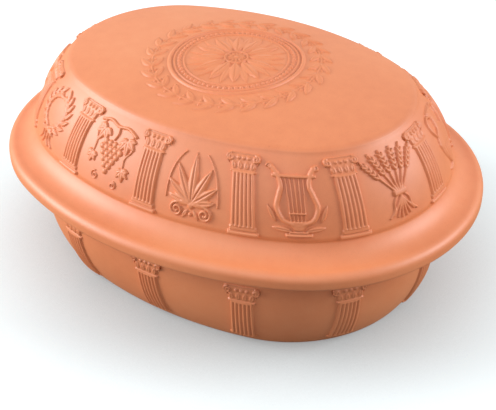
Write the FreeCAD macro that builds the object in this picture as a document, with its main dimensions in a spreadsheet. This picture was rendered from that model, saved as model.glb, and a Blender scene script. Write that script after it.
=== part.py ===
"""Clay roaster: an oval pot of unglazed clay and the domed lid that rests on its rim.

The table is at height 0, the middle of the pot is at the origin and the long axis is X.
Every oval is made of four arcs: two end arcs and two side arcs that meet smoothly.
"""
import FreeCAD, Part
import math
import os

import Sketcher
from FreeCAD import Vector

doc = FreeCAD.newDocument("clay_roaster")

# Driving dimensions, millimetres and degrees
SIZES = {
    # outline of the lid's brim, and where its end arcs turn into its side arcs
    "length": 345,
    "width": 260.5,
    "lid_turn": 66.6,
    "wall": 8,
    "seat_height": 80,
    # brim of the lid
    "brim_round": 5.4,
    "brim_drop": 2.25,
    "skirt_wall": 10.5,
    "rim_gap": 1.5,
    # sloping wall of the lid, from the ledge above the brim to the shoulder
    "ledge_inset": 21,
    "ledge_rise": 14,
    "ledge": 0.8,
    "frieze_round": 90,
    "shoulder_inset": 53,
    "shoulder_rise": 62.6,
    "shoulder_round": 8,
    "shoulder_strip": 9,
    # top of the lid
    "crown_inset": 55,
    "crown_step": 0.8,
    "crown_rise": 7.8,
    # pot
    "foot_length": 264,
    "foot_width": 189.4,
    "pot_turn": 76.3,
    "floor": 8,
    "floor_strip": 30,
    "floor_round": 12,
    "heel_round": 2,
    "swell": 15.2,
    "swell_height": 50,
    "flange": 10,
    "flange_slope": 6,
    "flange_root": 15,
    "flange_round": 2,
    # carving: how far the high and the low parts stand out, and how deep they root in the wall
    "relief": 1.8,
    "low_relief": 0.9,
    "sink": 2,
    # columns, one at each share of the way round, the same number on lid and pot
    "column_count": 12,
    "ridge_count": 5,
    "ridge_share": 0.55,
    "lid_column_foot": 1,
    "lid_column_tall": 52,
    "lid_shaft": 13.8,
    "lid_capital": 20.5,
    "lid_capital_tall": 13,
    "lid_base_tall": 8,
    "pot_column_foot": 7,
    "pot_column_tall": 52,
    "pot_shaft": 16,
    "pot_capital": 23,
    "pot_capital_tall": 14,
    "pot_base_tall": 4,
    # ornament between the lid's columns, and the medallion and garland on its crown
    "motif_foot": 3,
    "motif_tall": 44,
    "medallion_radius": 43.5,
    "medallion_band": 1.4,
    "petal_count": 12,
    "garland_radius": 56,
    "garland_count": 24,
    "garland_leaf": 12,
}

sheet = doc.addObject("Spreadsheet::Sheet", "Sizes")
for row, (alias, number) in enumerate(SIZES.items(), start=1):
    sheet.set(f"A{row}", alias)
    sheet.set(f"B{row}", str(number))
    sheet.setAlias(f"B{row}", alias)
doc.recompute()


def size(alias):
    return float(sheet.get(alias))


def number(expression):
    return float(sheet.evalExpression(expression))


# Heights and reaches that several outlines share, written as expressions of the sheet
TIP = "Sizes.length / 2"
SEAT = "Sizes.seat_height"
LIP = f"{SEAT} - Sizes.brim_drop - Sizes.brim_round"
BRIM = f"{SEAT} - Sizes.brim_drop"
SHOULDER = f"{SEAT} + Sizes.shoulder_rise"
FOOT = "Sizes.foot_length / 2"
POT_SIDE = f"{FOOT} + Sizes.swell"
SUMMIT = f"{SHOULDER} + Sizes.crown_step + Sizes.crown_rise"
LONG_RIM = f"({TIP} - Sizes.crown_inset)"
SIDE_RIM = "(Sizes.width / 2 - Sizes.crown_inset)"
LONG_ROUND = f"(({LONG_RIM} ^ 2 + Sizes.crown_rise ^ 2) / (2 * Sizes.crown_rise))"
WIDE_ROUND = f"(({SIDE_RIM} ^ 2 + Sizes.crown_rise ^ 2) / (2 * Sizes.crown_rise))"
SWELL_ARC = "(Sizes.swell_height ^ 2 + Sizes.swell ^ 2) / (2 * Sizes.swell)"


def oval_centre(long_half, wide_half, turn):
    """Distance of an end arc's centre from the middle, for an oval of these half sizes."""
    return f"({long_half} - {wide_half}) / (1 - 1 / cos({turn} * 1 deg) + tan({turn} * 1 deg))"


class Oval:
    """Family of parallel four-arc ovals, named by the size cells that fix it."""

    def __init__(self, long_half, wide_half, turn):
        self.turn = turn
        self.centre = oval_centre(long_half, wide_half, turn)

    def arcs(self, reach):
        """Centre distances, end radius and side radius of the oval that reaches this far along X."""
        end = number(self.centre)
        turn = math.radians(number(self.turn))
        end_radius = reach - end
        return end, end * math.tan(turn), end_radius, end_radius + end / math.cos(turn), turn

    def at(self, reach, share):
        """Point and outward direction at a share of the way round, from +X and anticlockwise."""
        end, side, end_radius, side_radius, turn = self.arcs(reach)
        end_run = end_radius * turn
        quarter = end_run + side_radius * (math.pi / 2 - turn)
        along = (share % 1) * 4
        step = int(along)
        part = along - step
        run = quarter * (part if step % 2 == 0 else 1 - part)
        if run < end_run:
            angle = run / end_radius
            x = end + end_radius * math.cos(angle)
            y = end_radius * math.sin(angle)
        else:
            angle = turn + (run - end_run) / side_radius
            x = side_radius * math.cos(angle)
            y = side_radius * math.sin(angle) - side
        across = 1 if step in (0, 3) else -1
        up = 1 if step in (0, 1) else -1
        point = Vector(across * x, up * y, 0)
        outward = Vector(across * math.cos(angle), up * math.sin(angle), 0)
        return point, outward


lid_oval = Oval("Sizes.length / 2", "Sizes.width / 2", "Sizes.lid_turn")
pot_oval = Oval("Sizes.foot_length / 2", "Sizes.foot_width / 2", "Sizes.pot_turn")


def plane(body, role):
    return next(item for item in body.Origin.OriginFeatures if item.Role == role)


def new_sketch(body, name, role, height=None, way="z"):
    """Sketch on one of the body's own planes, shifted up by an expression if one is given."""
    sketch = body.newObject("Sketcher::SketchObject", name)
    sketch.AttachmentSupport = [(plane(body, role), "")]
    sketch.MapMode = "FlatFace"
    if height:
        sketch.setExpression(f"AttachmentOffset.Base.{way}", height)
    return sketch


def arc_centre(start, end, radius, side):
    """Centre of the shorter arc; side is 1 when it turns left on its way, -1 when right."""
    chord = end - start
    left = Vector(-chord.y, chord.x, 0)
    left.normalize()
    reach = math.sqrt(radius ** 2 - (chord.Length / 2) ** 2)
    return (start + end) / 2 + left * (side * reach)


def draw(sketch, corners, runs, smooth=(), concentric=()):
    """Closed outline through the corners.

    A corner is (x, y) with an expression for each, or a number where the constraints find it.
    A run leads from its corner to the next: "line", "level", "upright" or (radius, side).
    """
    def value(term):
        return float(sketch.evalExpression(term)) if isinstance(term, str) else float(term)

    points = [Vector(value(x), value(y), 0) for x, y in corners]
    count = len(corners)
    first, last = {}, {}
    for index, run in enumerate(runs):
        start, end = points[index], points[(index + 1) % count]
        first[index], last[index] = 1, 2
        if isinstance(run, str):
            sketch.addGeometry(Part.LineSegment(start, end), False)
            continue
        radius, side = value(run[0]), run[1]
        centre = arc_centre(start, end, radius, side)
        begin, finish = (start, end) if side > 0 else (end, start)
        angles = [math.atan2(point.y - centre.y, point.x - centre.x) for point in (begin, finish)]
        circle = Part.Circle(centre, Vector(0, 0, 1), radius)
        sketch.addGeometry(Part.ArcOfCircle(circle, *angles), False)
        if side < 0:
            first[index], last[index] = 2, 1
    for index in range(count):
        before = (index - 1) % count
        kind = "Tangent" if index in smooth else "Coincident"
        sketch.addConstraint(Sketcher.Constraint(kind, before, last[before], index, first[index]))
    for index, corner in enumerate(corners):
        for kind, term in zip(("DistanceX", "DistanceY"), corner):
            if not isinstance(term, str):
                continue
            number = value(term)
            spot, root = (index, first[index]), (-1, 1)
            ends = root + spot if number >= 0 else spot + root
            place = sketch.addConstraint(Sketcher.Constraint(kind, *ends, abs(number)))
            sketch.setExpression(f"Constraints[{place}]", term if number >= 0 else f"-({term})")
    for index, run in enumerate(runs):
        if run == "level":
            sketch.addConstraint(Sketcher.Constraint("Horizontal", index))
        elif run == "upright":
            sketch.addConstraint(Sketcher.Constraint("Vertical", index))
        elif not isinstance(run, str):
            place = sketch.addConstraint(Sketcher.Constraint("Radius", index, value(run[0])))
            sketch.setExpression(f"Constraints[{place}]", run[0])
    for one, other in concentric:
        sketch.addConstraint(Sketcher.Constraint("Coincident", one, 3, other, 3))
    return sketch


def draw_oval(sketch, oval, reach):
    """The member of a family of ovals that reaches this far along X."""
    turn = f"({oval.turn} * 1 deg)"
    end_radius = f"({reach} - {oval.centre})"
    side_radius = f"({end_radius} + {oval.centre} / cos{turn})"
    x = f"{oval.centre} + {end_radius} * cos{turn}"
    y = f"{end_radius} * sin{turn}"
    corners = [(x, f"-({y})"), (x, y), (f"-({x})", y), (f"-({x})", f"-({y})")]
    runs = [(end_radius, 1), (side_radius, 1), (end_radius, 1), (side_radius, 1)]
    return draw(sketch, corners, runs)


def sweep(body, name, section, spine):
    pipe = body.newObject("PartDesign::AdditivePipe", name)
    pipe.Profile = section
    pipe.Spine = (spine, ["Edge1", "Edge2", "Edge3", "Edge4"])
    pipe.Mode = "Frenet"
    doc.recompute()
    return pipe


def circles_meet(one, one_radius, other, other_radius, side):
    """Where two circles cross, on the left (1) or right (-1) of the way from one to the other."""
    way = other - one
    gap = way.Length
    along = (gap ** 2 + one_radius ** 2 - other_radius ** 2) / (2 * gap)
    way.normalize()
    left = Vector(-way.y, way.x, 0)
    return one + way * along + left * (side * math.sqrt(one_radius ** 2 - along ** 2))


def frieze_arc():
    """Centre of the lid's bulging side in the plane of its section, and where the shoulder begins."""
    tip = size("length") / 2
    ledge = Vector(tip - size("ledge_inset"), size("seat_height") + size("ledge_rise"), 0)
    shoulder_round = size("shoulder_round")
    top = size("seat_height") + size("shoulder_rise")
    shoulder_centre = Vector(tip - size("shoulder_inset"), top - shoulder_round, 0)
    radius = size("frieze_round")
    centre = circles_meet(ledge, radius, shoulder_centre, radius - shoulder_round, 1)
    way = shoulder_centre - centre
    way.normalize()
    return centre, centre + way * radius


def build_lid_wall():
    """Ring of the lid from its brim up to the shoulder, swept round the oval."""
    body = doc.addObject("PartDesign::Body", "LidWall")
    spine = draw_oval(new_sketch(body, "LidSpine", "XY_Plane"), lid_oval, TIP)
    section = new_sketch(body, "LidSection", "XZ_Plane")
    centre, shoulder = frieze_arc()
    inner = size("frieze_round") - size("wall")
    ledge_height = f"{SEAT} + Sizes.ledge_rise"
    under = size("seat_height") + size("shoulder_rise") - size("wall")
    inner_top = centre.x + math.sqrt(inner ** 2 - (under - centre.y) ** 2)
    inner_rise = size("seat_height") + size("ledge_rise")
    inner_foot = centre.x + math.sqrt(inner ** 2 - (inner_rise - centre.y) ** 2)
    round_inset = f"{TIP} - Sizes.brim_round"
    cove_run = "(Sizes.ledge_inset + Sizes.ledge - Sizes.brim_round)"
    cove_rise = "(Sizes.ledge_rise - Sizes.ledge + Sizes.brim_drop - Sizes.brim_round)"
    cove = f"({cove_run} ^ 2 + {cove_rise} ^ 2) / (2 * {cove_rise})"
    strip = f"{TIP} - Sizes.shoulder_inset - Sizes.shoulder_strip"
    corners = [
        (round_inset, LIP),
        (TIP, BRIM),
        (round_inset, f"{BRIM} + Sizes.brim_round"),
        (f"{TIP} - Sizes.ledge_inset - Sizes.ledge", f"{ledge_height} - Sizes.ledge"),
        (f"{TIP} - Sizes.ledge_inset", ledge_height),
        (shoulder.x, shoulder.y),
        (f"{TIP} - Sizes.shoulder_inset", SHOULDER),
        (strip, SHOULDER),
        (strip, f"{SHOULDER} - Sizes.wall"),
        (inner_top, under),
        (inner_foot, ledge_height),
        (inner_foot, SEAT),
        (f"{TIP} - Sizes.skirt_wall", SEAT),
        (f"{TIP} - Sizes.skirt_wall", LIP),
    ]
    runs = [
        ("Sizes.brim_round", 1),
        ("Sizes.brim_round", 1),
        (cove, -1),
        "line",
        ("Sizes.frieze_round", 1),
        ("Sizes.shoulder_round", 1),
        "line",
        "line",
        "level",
        ("Sizes.frieze_round - Sizes.wall", -1),
        "upright",
        "line",
        "line",
        "line",
    ]
    draw(section, corners, runs, smooth=(5, 6), concentric=[(4, 9)])
    sweep(body, "LidRing", section, spine)
    return body


def build_crown():
    """Gently domed top of the lid: a wide arc across it, swung about an axis far below."""
    body = doc.addObject("PartDesign::Body", "CrownDome")
    axis = f"{SUMMIT} - {LONG_ROUND}"
    section = new_sketch(body, "DomeSection", "YZ_Plane", axis, "y")
    reach = f"({SIDE_RIM} + Sizes.wall)"
    inner_reach = f"({reach} * (1 - Sizes.wall / {WIDE_ROUND}))"
    drop = f"({WIDE_ROUND} - sqrt({WIDE_ROUND} ^ 2 - {reach} ^ 2))"
    inner_drop = f"({drop} * (1 - Sizes.wall / {WIDE_ROUND}) + Sizes.wall)"
    corners = [
        (reach, f"{LONG_ROUND} - {drop}"),
        (f"-{reach}", f"{LONG_ROUND} - {drop}"),
        (f"-{inner_reach}", f"{LONG_ROUND} - {inner_drop}"),
        (inner_reach, f"{LONG_ROUND} - {inner_drop}"),
    ]
    runs = [(WIDE_ROUND, 1), "line", (f"{WIDE_ROUND} - Sizes.wall", -1), "line"]
    draw(section, corners, runs)
    dome = body.newObject("PartDesign::Revolution", "Dome")
    dome.Profile = section
    dome.ReferenceAxis = (section, ["H_Axis"])
    dome.Midplane = True
    dome.setExpression("Angle", f"2 * asin(({LONG_RIM} + Sizes.wall) / {LONG_ROUND})")

    disc_body = doc.addObject("PartDesign::Body", "CrownDisc")
    under = f"{SHOULDER} - 2 * Sizes.wall"
    disc = disc_body.newObject("PartDesign::Pad", "CrownPad")
    disc.Profile = draw_oval(new_sketch(disc_body, "CrownOutline", "XY_Plane", under), lid_oval, LONG_RIM)
    disc.setExpression("Length", "2 * Sizes.wall + 2 * Sizes.crown_rise")

    crown = doc.addObject("Part::Common", "Crown")
    crown.Base = body
    crown.Tool = disc_body
    return crown


def build_pot_shell():
    """Pot: swelling wall, floor, the rim that carries the lid, and the mouth through that rim."""
    body = doc.addObject("PartDesign::Body", "PotShell")
    spine = draw_oval(new_sketch(body, "PotSpine", "XY_Plane"), pot_oval, FOOT)
    section = new_sketch(body, "PotSection", "XZ_Plane")
    swell_arc = f"({SWELL_ARC})"
    radius = number(SWELL_ARC)
    side = size("foot_length") / 2 + size("swell")
    centre = Vector(side - radius, size("swell_height"), 0)
    heel = size("heel_round")
    floor_round = size("floor_round")
    inner = radius - size("wall")
    heel_centre = Vector(centre.x + math.sqrt((radius - heel) ** 2 - (centre.y - heel) ** 2), heel, 0)
    nook_height = size("floor") + floor_round
    nook_reach = math.sqrt((inner - floor_round) ** 2 - (centre.y - nook_height) ** 2)
    nook_centre = Vector(centre.x + nook_reach, nook_height, 0)

    def touch(arc_centre_point, arc_radius):
        way = arc_centre_point - centre
        way.normalize()
        return centre + way * arc_radius

    heel_end = touch(heel_centre, radius)
    nook_end = touch(nook_centre, inner)
    inside = f"{POT_SIDE} - Sizes.wall"
    strip = f"{FOOT} - Sizes.floor_strip"
    corners = [
        (strip, "0 * Sizes.floor"),
        (heel_centre.x, "0 * Sizes.floor"),
        (heel_end.x, heel_end.y),
        (POT_SIDE, "Sizes.swell_height"),
        (POT_SIDE, SEAT),
        (inside, SEAT),
        (inside, "Sizes.swell_height"),
        (nook_end.x, nook_end.y),
        (nook_centre.x, "Sizes.floor"),
        (strip, "Sizes.floor"),
    ]
    runs = [
        "line",
        ("Sizes.heel_round", 1),
        (swell_arc, 1),
        "line",
        "line",
        "line",
        (f"{swell_arc} - Sizes.wall", -1),
        ("Sizes.floor_round", -1),
        "line",
        "line",
    ]
    draw(section, corners, runs, smooth=(1, 2, 7, 8))
    sweep(body, "PotWall", section, spine)

    floor = body.newObject("PartDesign::Pad", "PotFloor")
    floor.Profile = draw_oval(new_sketch(body, "FloorOutline", "XY_Plane"), pot_oval, f"({strip})")
    floor.setExpression("Length", "Sizes.floor")

    rim = f"{TIP} - Sizes.skirt_wall - Sizes.rim_gap"
    root = f"{rim} - Sizes.flange_root"
    rim_under = f"{SEAT} - Sizes.flange"
    rim_spine = draw_oval(new_sketch(body, "RimSpine", "XY_Plane"), lid_oval, f"({rim})")
    rim_section = new_sketch(body, "RimSection", "XZ_Plane")
    corners = [
        (root, f"{rim_under} - Sizes.flange_slope"),
        (f"{rim} - Sizes.flange_round", rim_under),
        (rim, f"{rim_under} + Sizes.flange_round"),
        (rim, SEAT),
        (root, SEAT),
    ]
    runs = ["line", ("Sizes.flange_round", 1), "line", "line", "line"]
    draw(rim_section, corners, runs)
    sweep(body, "PotRim", rim_section, rim_spine)

    mouth = body.newObject("PartDesign::Pocket", "Mouth")
    mouth_sketch = new_sketch(body, "MouthOutline", "XY_Plane", SEAT)
    mouth.Profile = draw_oval(mouth_sketch, pot_oval, f"({inside})")
    mouth.setExpression("Length", f"{SEAT} - Sizes.swell_height")
    doc.recompute()
    return body


class Spot:
    """Place on a wall: a point at its foot, the way along it, up it and out of it."""

    def __init__(self, oval, low, high, share):
        foot, outward = oval.at(low[0], share)
        top, _ = oval.at(high[0], share)
        foot.z, top.z = low[1], high[1]
        up = (top - foot).normalize()
        out = Vector(0, 0, 1).cross(outward).cross(up).normalize()
        along = up.cross(out)
        self.axes = FreeCAD.Matrix(
            along.x, up.x, out.x, foot.x,
            along.y, up.y, out.y, foot.y,
            along.z, up.z, out.z, foot.z,
        )


def moved(shape, axes):
    copy = shape.copy()
    copy.transformShape(axes)
    return copy


def shape_of(points):
    """Flat face with straight sides."""
    corners = [Vector(x, y, 0) for x, y in points]
    return Part.Face(Part.makePolygon(corners + corners[:1]))


def slab(middle, low, high, wide, top_wide=None):
    """Flat upright block, wider or narrower at its top if asked."""
    top_wide = wide if top_wide is None else top_wide
    return shape_of([
        (middle - wide / 2, low), (middle + wide / 2, low),
        (middle + top_wide / 2, high), (middle - top_wide / 2, high),
    ])


def regular(x, y, radius, sides):
    turns = [2 * math.pi * (step + 0.5) / sides for step in range(sides)]
    return shape_of([(x + radius * math.cos(turn), y + radius * math.sin(turn)) for turn in turns])


def leaf(x, y, lean, long, wide):
    """Pointed leaf from its stalk end; lean is the angle from upright, clockwise, in degrees."""
    lean = math.radians(lean)
    outline = [(0, 0), (0.45, 0.5), (1, 0), (0.45, -0.5)]
    return shape_of([
        (x + along * long * math.sin(lean) + side * wide * math.cos(lean),
         y + along * long * math.cos(lean) - side * wide * math.sin(lean))
        for along, side in outline
    ])


def bar(x, y, to_x, to_y, wide):
    """Straight bar between two points."""
    run = math.hypot(to_x - x, to_y - y)
    side_x, side_y = (to_y - y) / run * wide / 2, (x - to_x) / run * wide / 2
    return shape_of([
        (x + side_x, y + side_y), (to_x + side_x, to_y + side_y),
        (to_x - side_x, to_y - side_y), (x - side_x, y - side_y),
    ])


def skin(section, wide):
    """Skin of a wall at the +X end: its section in the XZ plane given the width of one carving."""
    face = Part.Face(Part.Wire(section))
    face.translate(Vector(0, -wide / 2, 0))
    return face.extrude(Vector(0, wide, 0))


def carve(flats, wall_skin, spot):
    """Blocks over the flat outlines at this spot, as far as they lie in the skin of the wall."""
    depth = 3 * size("wall")
    blocks = []
    for flat in flats:
        block = flat.extrude(Vector(0, 0, depth))
        block.translate(Vector(0, 0, -depth / 2))
        blocks.append(moved(block, spot.axes))
    return wall_skin.common(blocks[0].multiFuse(blocks[1:]) if blocks[1:] else blocks[0])


def column(tall, shaft, capital, capital_tall, base_tall):
    """High and low outlines of a fluted column: base steps, shaft with ridges, capital."""
    neck = tall - capital_tall
    low = [slab(0, base_tall / 2, neck + capital_tall / 2, shaft)]
    high = [slab(0, 0, base_tall / 2, capital), slab(0, base_tall / 2, base_tall, (shaft + capital) / 2)]
    ridges = int(size("ridge_count"))
    pitch = shaft / ridges
    for step in range(ridges):
        middle = (step + 0.5) * pitch - shaft / 2
        high.append(slab(middle, base_tall, neck, pitch * size("ridge_share")))
    collar = capital_tall / 8
    high.append(slab(0, neck, neck + collar, shaft))
    high.append(slab(0, neck + 2 * collar, tall - 2 * collar, shaft * 0.7, shaft * 1.1))
    high.append(slab(0, tall - 1.6 * collar, tall, capital))
    scroll = 1.6 * collar
    for side in (-1, 1):
        high.append(regular(side * (capital / 2 - scroll), tall - 3 * collar, 1.2 * scroll, 4))
    return high, low


def arc_band(centre, inner, outer, low, high, lift=0):
    """Section between two arcs about one centre, in the XZ plane, with a straight part above."""
    def at(radius, angle):
        return Vector(centre.x + radius * math.cos(angle), 0, centre.y + radius * math.sin(angle))

    middle = (low + high) / 2
    rise = Vector(0, 0, lift)
    top_out, top_in = at(outer, high), at(inner, high)
    edges = [Part.Arc(at(outer, low), at(outer, middle), top_out).toShape()]
    if lift:
        edges.append(Part.makeLine(top_out, top_out + rise))
    edges.append(Part.makeLine(top_out + rise, top_in + rise))
    if lift:
        edges.append(Part.makeLine(top_in + rise, top_in))
    edges.append(Part.Arc(top_in, at(inner, middle), at(inner, low)).toShape())
    edges.append(Part.makeLine(at(inner, low), at(outer, low)))
    return edges


def amphora(tall):
    """Two-handled jar with a ribbed body."""
    high = [
        slab(0, 0, 0.06 * tall, 0.3 * tall),
        slab(0, 0.58 * tall, 0.64 * tall, 0.58 * tall, 0.5 * tall),
        slab(0, 0.7 * tall, 0.92 * tall, 0.2 * tall, 0.16 * tall),
        slab(0, 0.92 * tall, tall, 0.3 * tall, 0.34 * tall),
    ]
    for lean in (-22, 0, 22):
        high.append(leaf(0, 0.1 * tall, lean, 0.46 * tall, 0.12 * tall))
    for side in (-1, 1):
        high.append(bar(side * 0.08 * tall, 0.87 * tall, side * 0.33 * tall, 0.87 * tall, 0.05 * tall))
        high.append(bar(side * 0.31 * tall, 0.89 * tall, side * 0.25 * tall, 0.6 * tall, 0.05 * tall))
    low = [
        slab(0, 0.06 * tall, 0.6 * tall, 0.12 * tall, 0.58 * tall),
        slab(0, 0.6 * tall, 0.72 * tall, 0.58 * tall, 0.24 * tall),
    ]
    return high, low


def wreath(tall):
    """Laurel wreath tied below with a ribbon."""
    high = [regular(0, 0.26 * tall, 0.06 * tall, 4)]
    radius, middle = 0.3 * tall, 0.58 * tall
    leaves = 6
    for side in (-1, 1):
        for step in range(leaves):
            turn = 180 - 165 * step / leaves
            x = side * radius * math.sin(math.radians(turn))
            y = middle + radius * math.cos(math.radians(turn))
            lean = side * (turn - 90 + (28 if step % 2 else -28))
            high.append(leaf(x, y, lean, 0.24 * tall, 0.1 * tall))
        high.append(bar(0, 0.26 * tall, side * 0.16 * tall, 0.02 * tall, 0.06 * tall))
    return high, []


def palmette(tall):
    """Fan of leaves that rises from two scrolls."""
    high = [leaf(0, 0.22 * tall, lean, (0.76 - abs(lean) / 320) * tall, 0.14 * tall)
            for lean in (-60, -30, 0, 30, 60)]
    high.append(slab(0, 0.12 * tall, 0.27 * tall, 0.4 * tall, 0.26 * tall))
    for side in (-1, 1):
        high.append(regular(side * 0.26 * tall, 0.12 * tall, 0.11 * tall, 6))
    return high, []


def vine(tall):
    """Vine branch with leaves and a hanging bunch of grapes."""
    high = [
        bar(-0.34 * tall, 0.97 * tall, 0.34 * tall, 0.89 * tall, 0.05 * tall),
        slab(0, 0.64 * tall, 0.95 * tall, 0.05 * tall),
    ]
    for side in (-1, 1):
        for lean in (95, 140):
            high.append(leaf(side * 0.06 * tall, 0.86 * tall, side * lean, 0.34 * tall, 0.16 * tall))
    radius = 0.1 * tall
    for rank, grapes in enumerate((3, 2, 1)):
        for step in range(grapes):
            x = (step - (grapes - 1) / 2) * 2 * radius
            high.append(regular(x, (0.6 - 0.18 * rank) * tall, radius, 6))
    return high, []


def lyre(tall):
    """Lyre with its strings."""
    high = [
        slab(0, 0, 0.06 * tall, 0.36 * tall),
        slab(0, 0.06 * tall, 0.24 * tall, 0.14 * tall, 0.4 * tall),
        slab(0, 0.83 * tall, 0.89 * tall, 0.6 * tall),
    ]
    for side in (-1, 1):
        path = [(0.16, 0.2), (0.3, 0.45), (0.18, 0.76), (0.24, 0.98)]
        for (x, y), (to_x, to_y) in zip(path, path[1:]):
            high.append(bar(side * x * tall, y * tall, side * to_x * tall, to_y * tall, 0.07 * tall))
    for offset in (-0.08, 0, 0.08):
        high.append(slab(offset * tall, 0.24 * tall, 0.83 * tall, 0.03 * tall))
    return high, []


def sheaf(tall):
    """Sheaf of wheat tied at its waist."""
    high = [slab(0, 0.34 * tall, 0.42 * tall, 0.24 * tall)]
    for lean in (-26, -13, 0, 13, 26):
        turn = math.radians(lean)
        top_x, top_y = 0.36 * tall * math.sin(turn), (0.4 + 0.26 * math.cos(turn)) * tall
        high.append(bar(0.2 * top_x, 0.42 * tall, top_x, top_y, 0.035 * tall))
        high.append(leaf(top_x, top_y - 0.04 * tall, lean, 0.36 * tall, 0.11 * tall))
    high.append(slab(0, 0.02 * tall, 0.34 * tall, 0.34 * tall, 0.14 * tall))
    return high, []


MOTIFS = [amphora, wreath, vine, palmette, lyre, sheaf]


def lid_carving():
    """Columns and the ornaments between them, on the lid's sloping wall."""
    tip = size("length") / 2
    ledge = (tip - size("ledge_inset"), size("seat_height") + size("ledge_rise"))
    centre, shoulder = frieze_arc()
    low_angle = math.asin((ledge[1] - centre.y) / size("frieze_round"))
    high_angle = math.atan2(shoulder.y - centre.y, shoulder.x - centre.x)
    inner = size("frieze_round") - size("sink")
    count = int(size("column_count"))

    def spot(share):
        return Spot(lid_oval, ledge, (shoulder.x, shoulder.y), share)

    def carving(flats, foot, wide):
        parts = []
        for outlines, height in zip(flats, (size("relief"), size("low_relief"))):
            for outline in outlines:
                outline.translate(Vector(0, foot, 0))
            if outlines:
                outer = size("frieze_round") + height
                wall_skin = skin(arc_band(centre, inner, outer, low_angle, high_angle), wide)
                parts.append(carve(outlines, wall_skin, spot(0)))
        return parts[0].fuse(parts[1]) if parts[1:] else parts[0]

    home = spot(0).axes.inverse()
    one = carving(column(size("lid_column_tall"), size("lid_shaft"), size("lid_capital"),
                         size("lid_capital_tall"), size("lid_base_tall")),
                  size("lid_column_foot"), 2 * size("lid_capital"))
    carved = [moved(one, spot(step / count).axes * home) for step in range(count)]
    for index, motif in enumerate(MOTIFS):
        one = carving(motif(size("motif_tall")), size("motif_foot"), 2 * size("motif_tall"))
        for step in range(index, count, len(MOTIFS)):
            carved.append(moved(one, spot((step + 0.5) / count).axes * home))
    return carved


def pot_carving():
    """Columns on the pot's swelling wall."""
    side = size("foot_length") / 2 + size("swell")
    radius = (size("swell_height") ** 2 + size("swell") ** 2) / (2 * size("swell"))
    centre = Vector(side - radius, size("swell_height"), 0)
    low_height = size("pot_column_foot")
    low_angle = math.asin((low_height - centre.y) / radius)
    low = (centre.x + radius * math.cos(low_angle), low_height)
    high = (side, low_height + size("pot_column_tall"))
    count = int(size("column_count"))

    def spot(share):
        return Spot(pot_oval, low, high, share)

    parts = []
    flats = column(size("pot_column_tall"), size("pot_shaft"), size("pot_capital"),
                   size("pot_capital_tall"), size("pot_base_tall"))
    for outlines, height in zip(flats, (size("relief"), size("low_relief"))):
        band = arc_band(centre, radius - size("sink"), radius + height, low_angle, 0,
                        size("pot_column_tall"))
        parts.append(carve(outlines, skin(band, 2 * size("pot_capital")), spot(0)))
    one = parts[0].fuse(parts[1])
    home = spot(0).axes.inverse()
    return [moved(one, spot(step / count).axes * home) for step in range(count)]


def crown_carving():
    """Medallion with a flower in two rings, and a garland of leaves round it."""
    long_round, wide_round = number(LONG_ROUND), number(WIDE_ROUND)
    axis_height = number(SUMMIT) - long_round
    height, sink = size("low_relief"), size("sink")

    def planted(x, y, flat):
        """Block on the dome at this place, square to its surface."""
        hoop = math.sqrt(wide_round ** 2 - y ** 2)
        reach = long_round - wide_round + hoop
        up = math.sqrt(reach ** 2 - x ** 2)
        facing = Vector(x / reach * hoop, y, up / reach * hoop).normalize()
        block = flat.extrude(Vector(0, 0, height + sink))
        root = Vector(x, y, axis_height + up) - facing * sink
        block.Placement = FreeCAD.Placement(root, FreeCAD.Rotation(Vector(0, 0, 1), facing))
        return block

    def spray(radius, count, lean, long, wide):
        """Ring of leaves, each turned by the same lean from its way outward."""
        blocks = []
        for step in range(count):
            bearing = 360 * step / count
            x = radius * math.sin(math.radians(bearing))
            y = radius * math.cos(math.radians(bearing))
            heading = math.radians(bearing + lean)
            back_x, back_y = -math.sin(heading) * long / 2, -math.cos(heading) * long / 2
            blocks.append(planted(x, y, leaf(back_x, back_y, bearing + lean, long, wide)))
        return blocks

    def dome_skin(reach):
        """Skin of the dome as far out as this, from inside the clay to the top of the carving."""
        def over(radius, y):
            return Vector(0, y, axis_height + long_round - wide_round + math.sqrt(radius ** 2 - y ** 2))

        outer, inner = wide_round + height, wide_round - sink
        edges = [
            Part.Arc(over(outer, -reach), over(outer, 0), over(outer, reach)).toShape(),
            Part.makeLine(over(outer, reach), over(inner, reach)),
            Part.Arc(over(inner, reach), over(inner, 0), over(inner, -reach)).toShape(),
            Part.makeLine(over(inner, -reach), over(outer, -reach)),
        ]
        swing = math.degrees(math.asin(reach / long_round))
        axis_point, axis_way = Vector(0, 0, axis_height), Vector(0, 1, 0)
        face = Part.Face(Part.Wire(edges))
        face.rotate(axis_point, axis_way, -swing)
        return face.revolve(axis_point, axis_way, 2 * swing)

    radius, band = size("medallion_radius"), size("medallion_band")
    leaves, long = int(size("garland_count")), size("garland_leaf")
    petals = int(size("petal_count"))
    blocks = [planted(0, 0, regular(0, 0, radius * 0.11, 12))]
    blocks += spray(radius * 0.41, petals, 0, radius * 0.5, radius * 0.16)
    for lean in (62, 118):
        outward = -1 if lean > 90 else 1
        blocks += spray(size("garland_radius") + outward * long / 4, leaves, lean, long, long * 0.42)
    low = Vector(0, 0, axis_height + long_round - size("wall"))
    for reach in (radius, radius * 0.84):
        outer = Part.makeCylinder(reach + band / 2, 2 * size("wall"), low)
        ring = outer.cut(Part.makeCylinder(reach - band / 2, 2 * size("wall"), low))
        blocks.append(ring.common(dome_skin(2 * radius)))
    return blocks


def carved(name, clay, blocks):
    """Clay with the blocks that stand out of it."""
    doc.recompute()
    whole = doc.addObject("Part::Feature", name)
    whole.Shape = clay.Shape.multiFuse(blocks)
    return whole


def joined(label, pieces):
    """One solid of clay out of its parts, and the name of its file."""
    whole = doc.addObject("Part::MultiFuse", label.capitalize())
    whole.Shapes = pieces
    whole.Label = label
    whole.Placement = FreeCAD.Placement()
    return whole


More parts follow.
